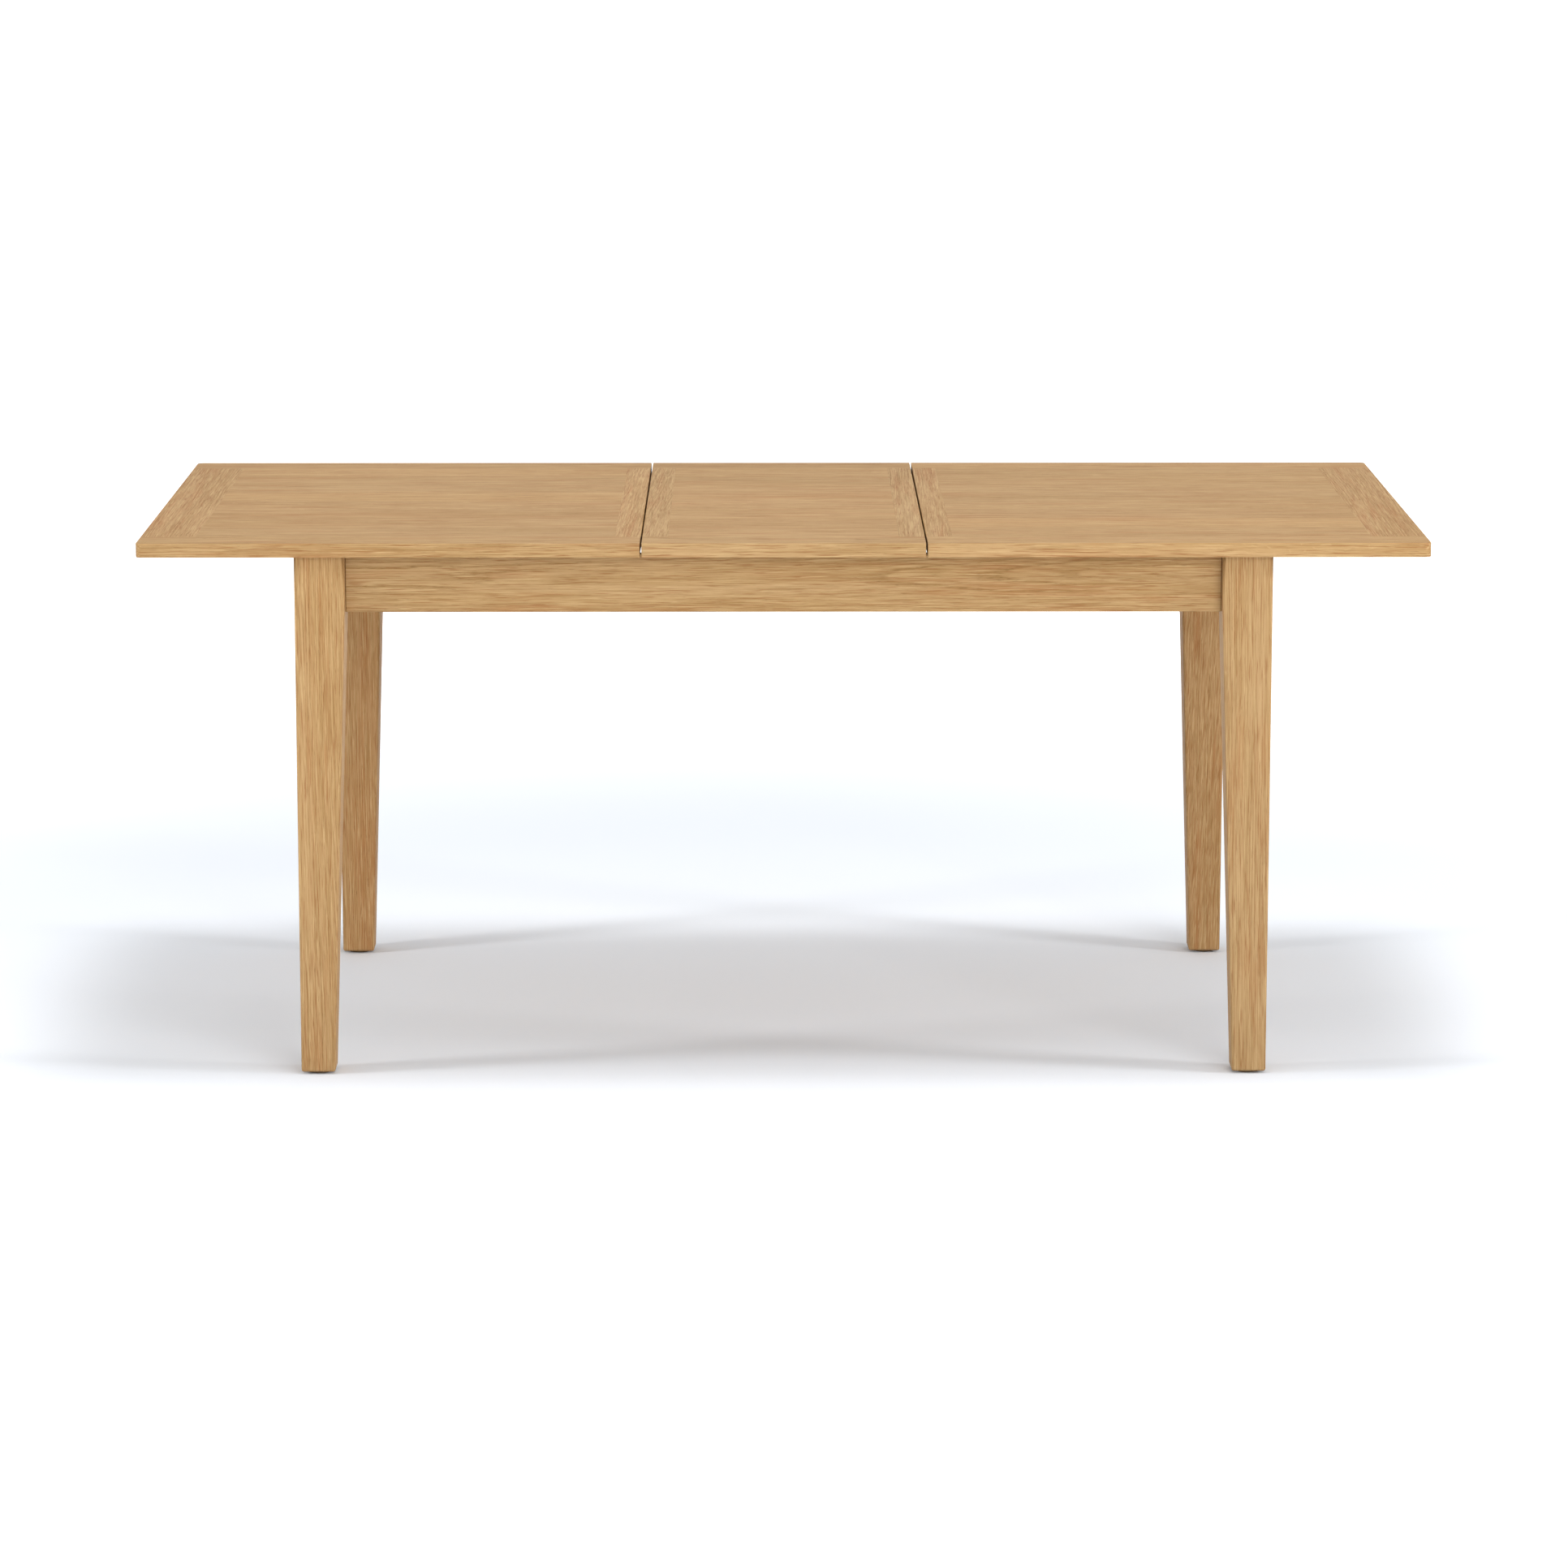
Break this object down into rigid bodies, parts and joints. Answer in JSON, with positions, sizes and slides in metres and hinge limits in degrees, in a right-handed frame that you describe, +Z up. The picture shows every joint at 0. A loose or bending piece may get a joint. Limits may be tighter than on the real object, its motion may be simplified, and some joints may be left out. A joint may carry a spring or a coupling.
{
  "type": "extendable dining table",
  "caption": "Oak dining table with four tapered legs and two sliding top halves that part for a lift-out leaf between them.",
  "frame": {"origin": "on the floor under the middle of the extended table", "axes": "+X along the table towards the right half, +Y towards its rear, +Z up"},
  "size_m": [1.8, 0.9, 0.76],
  "materials": {
    "oak_top": "satin clear lacquer",
    "oak_frame": "satin clear lacquer",
    "beech_rail": "planed, unfinished",
    "zinc_steel": "zinc plated",
    "nylon_glide": "moulded"
  },
  "bodies": {
    "frame": {"front_left_leg": "oak_frame", "front_left_foot_glide": "nylon_glide", "front_left_corner_block": "beech_rail", "front_left_hanger_bolt": "zinc_steel", "front_left_hanger_nut": "zinc_steel", "front_right_leg": "oak_frame", "front_right_foot_glide": "nylon_glide", "front_right_corner_block": "beech_rail", "front_right_hanger_bolt": "zinc_steel", "front_right_hanger_nut": "zinc_steel", "rear_left_leg": "oak_frame", "rear_left_foot_glide": "nylon_glide", "rear_left_corner_block": "beech_rail", "rear_left_hanger_bolt": "zinc_steel", "rear_left_hanger_nut": "zinc_steel", "rear_right_leg": "oak_frame", "rear_right_foot_glide": "nylon_glide", "rear_right_corner_block": "beech_rail", "rear_right_hanger_bolt": "zinc_steel", "rear_right_hanger_nut": "zinc_steel", "front_apron": "oak_frame", "rear_apron": "oak_frame", "left_apron": "oak_frame", "right_apron": "oak_frame", "front_guide_rail": "beech_rail", "rear_guide_rail": "beech_rail", "centre_bearer": "beech_rail"},
    "left_top": {"left_top_field": "oak_top", "left_top_end_band": "oak_top", "left_top_seam_band": "oak_top", "left_top_front_rail": "oak_top", "left_top_rear_rail": "oak_top", "left_front_runner": "beech_rail", "left_rear_runner": "beech_rail", "left_front_catch_screw": "zinc_steel", "left_rear_catch_screw": "zinc_steel"},
    "right_top": {"right_top_field": "oak_top", "right_top_end_band": "oak_top", "right_top_seam_band": "oak_top", "right_top_front_rail": "oak_top", "right_top_rear_rail": "oak_top", "right_front_runner": "beech_rail", "right_rear_runner": "beech_rail", "right_front_catch_screw": "zinc_steel", "right_rear_catch_screw": "zinc_steel"},
    "leaf": {"leaf_field": "oak_top", "leaf_left_band": "oak_top", "leaf_right_band": "oak_top", "leaf_front_rail": "oak_top", "leaf_rear_rail": "oak_top", "leaf_front_peg": "beech_rail", "leaf_rear_peg": "beech_rail", "leaf_left_front_keeper": "zinc_steel", "leaf_left_rear_keeper": "zinc_steel", "leaf_right_front_keeper": "zinc_steel", "leaf_right_rear_keeper": "zinc_steel"},
    "left_front_catch_lever": {"left_front_catch": "zinc_steel"},
    "left_rear_catch_lever": {"left_rear_catch": "zinc_steel"},
    "right_front_catch_lever": {"right_front_catch": "zinc_steel"},
    "right_rear_catch_lever": {"right_rear_catch": "zinc_steel"}
  },
  "joints": [
    {"name": "left_top_slide", "type": "slide", "parent": "frame", "child": "left_top", "axis": [1, 0, 0], "range_m": [0, 0.1997]},
    {"name": "right_top_slide", "type": "slide", "parent": "frame", "child": "right_top", "axis": [-1, 0, 0], "range_m": [0, 0.1997]},
    {"name": "leaf_lift", "type": "slide", "parent": "frame", "child": "leaf", "axis": [0, 0, 1], "range_m": [0, 1.4]},
    {"name": "left_front_catch_turn", "type": "hinge", "parent": "left_top", "child": "left_front_catch_lever", "pos_m": [-0.245, -0.318, 0.7382], "axis": [0, 0, -1], "range_deg": [0, 90]},
    {"name": "left_rear_catch_turn", "type": "hinge", "parent": "left_top", "child": "left_rear_catch_lever", "pos_m": [-0.245, 0.318, 0.7382], "axis": [0, 0, 1], "range_deg": [0, 90]},
    {"name": "right_front_catch_turn", "type": "hinge", "parent": "right_top", "child": "right_front_catch_lever", "pos_m": [0.245, -0.232, 0.7382], "axis": [0, 0, 1], "range_deg": [0, 90]},
    {"name": "right_rear_catch_turn", "type": "hinge", "parent": "right_top", "child": "right_rear_catch_lever", "pos_m": [0.245, 0.232, 0.7382], "axis": [0, 0, -1], "range_deg": [0, 90]}
  ],
  "couplings": [
    {"joint": "right_top_slide", "follows": "left_top_slide", "ratio": 1},
    {"joint": "leaf_lift", "follows": "left_top_slide", "ratio": 7}
  ]
}
